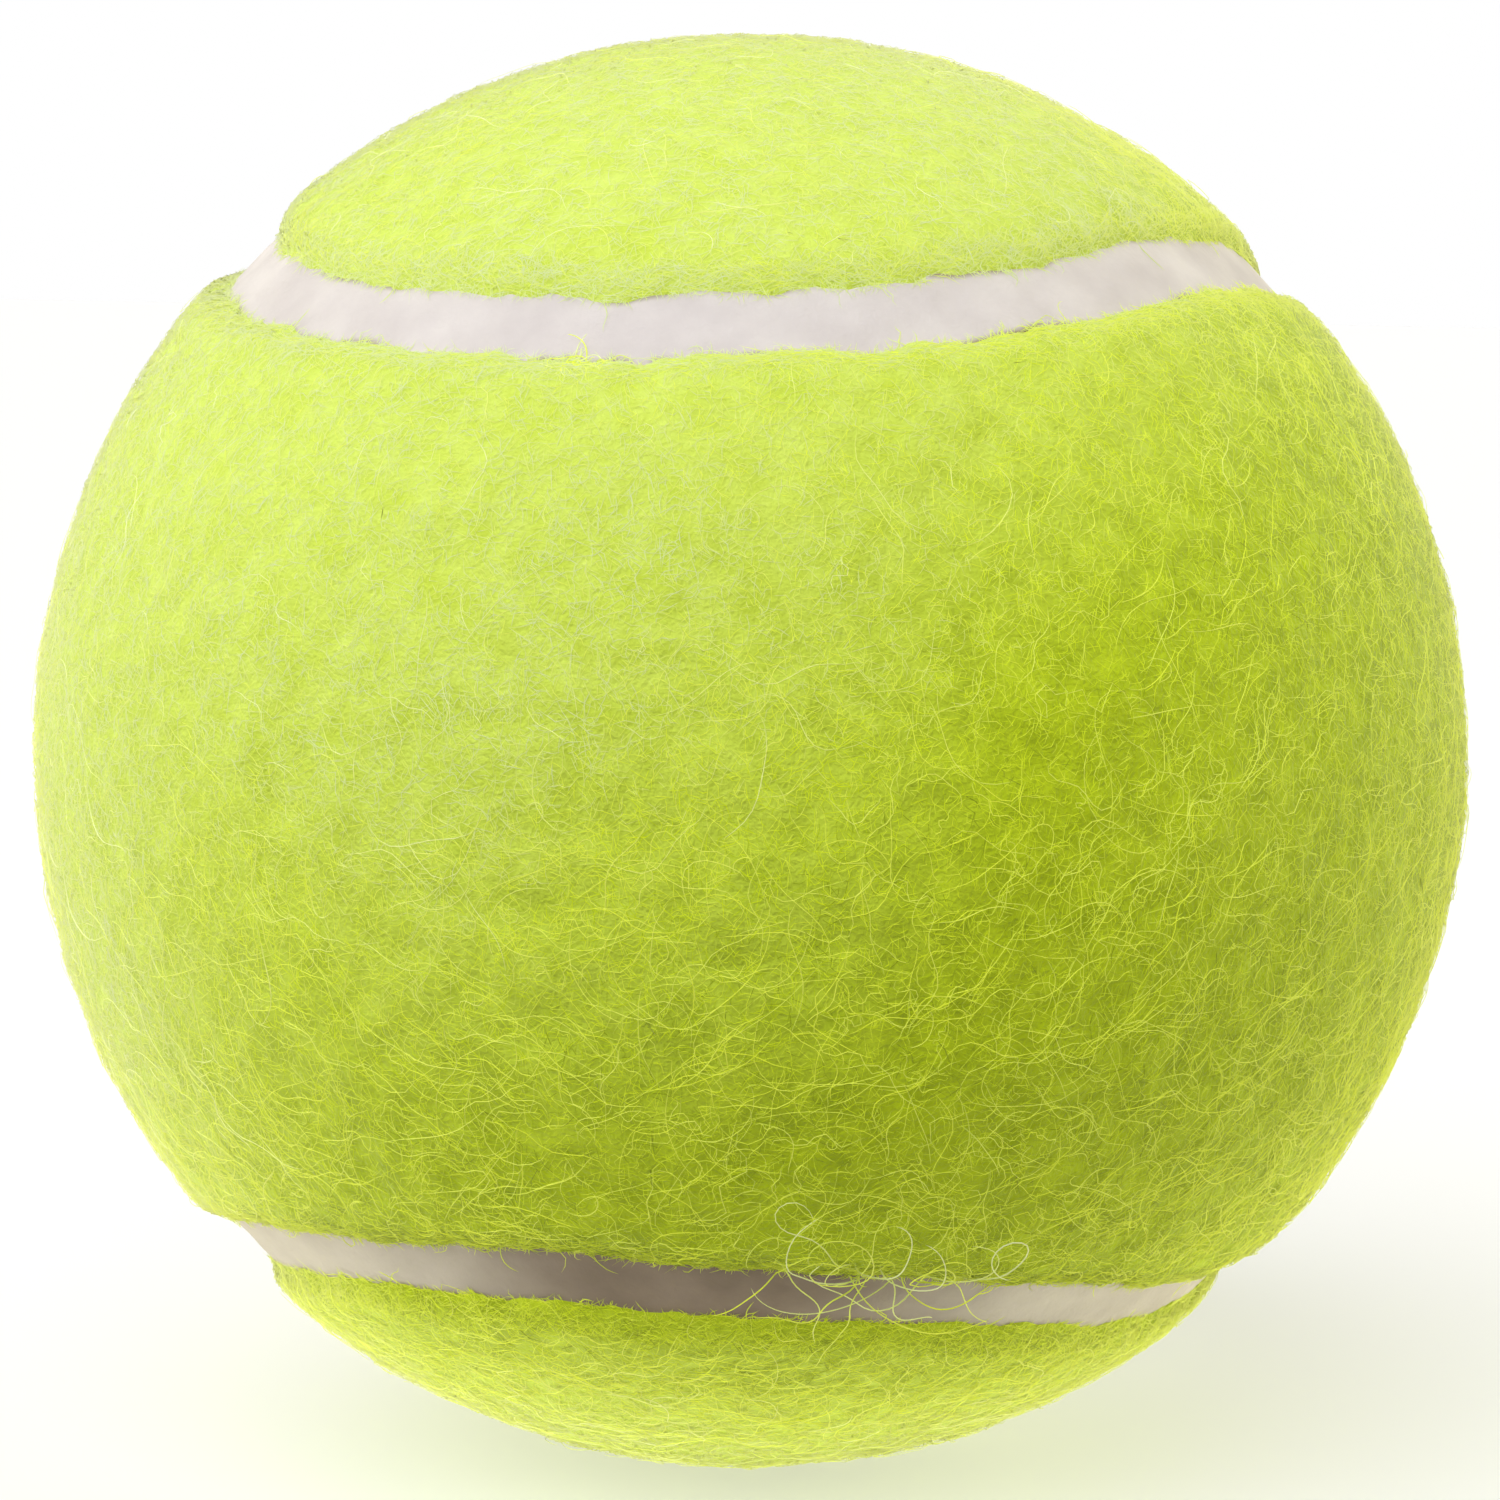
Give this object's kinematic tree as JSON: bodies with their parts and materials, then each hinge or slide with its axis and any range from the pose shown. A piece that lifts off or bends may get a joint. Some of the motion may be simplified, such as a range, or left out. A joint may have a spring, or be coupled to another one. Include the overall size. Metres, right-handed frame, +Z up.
{
  "type": "tennis ball",
  "caption": "Pressurised tennis ball: hollow rubber core under interlocking dumbbell-shaped felt panels, parted by a recessed rubber seam.",
  "frame": {"origin": "centre of the ball", "axes": "+Z up; -Y out of the middle of the front panel's waist; +X towards the front panel's right end, seen from the front"},
  "size_m": [0.067, 0.067, 0.067],
  "materials": {
    "felt": "napped wool and nylon felt",
    "seam": "matt vulcanised rubber",
    "backing": "dried rubber on woven cloth",
    "cement": "dried rubber solution",
    "core": "moulded and buffed rubber"
  },
  "bodies": {
    "root": {"core_half_upper": "core", "core_half_lower": "core", "core_joint_cement": "cement", "core_coat": "cement", "felt_backing_front": "backing", "felt_backing_back": "backing", "felt_panel_front": "felt", "felt_panel_back": "felt", "seam_rubber": "seam"}
  },
  "joints": []
}
